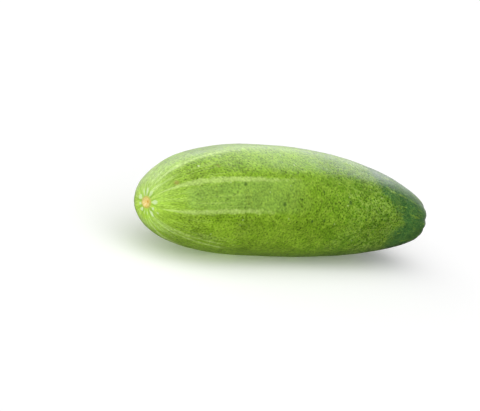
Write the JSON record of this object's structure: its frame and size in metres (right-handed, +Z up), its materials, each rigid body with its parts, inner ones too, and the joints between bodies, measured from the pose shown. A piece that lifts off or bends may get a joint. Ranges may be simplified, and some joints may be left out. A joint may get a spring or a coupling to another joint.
{
  "type": "cucumber",
  "caption": "Whole short, plump cucumber, gently bowed, with a ring-shaped flower scar at one end and a broken stalk scar at the other, lying on its belly.",
  "frame": {"origin": "on the surface that the cucumber lies on, under the middle of its bounding box", "axes": "+X runs from the blossom end to the stem end, +Y is the side that the bow bulges to, +Z is up"},
  "size_m": [0.1624, 0.0502, 0.0489],
  "materials": {
    "cucumber_skin": "satin"
  },
  "bodies": {
    "root": {"cucumber": "cucumber_skin"}
  },
  "joints": []
}
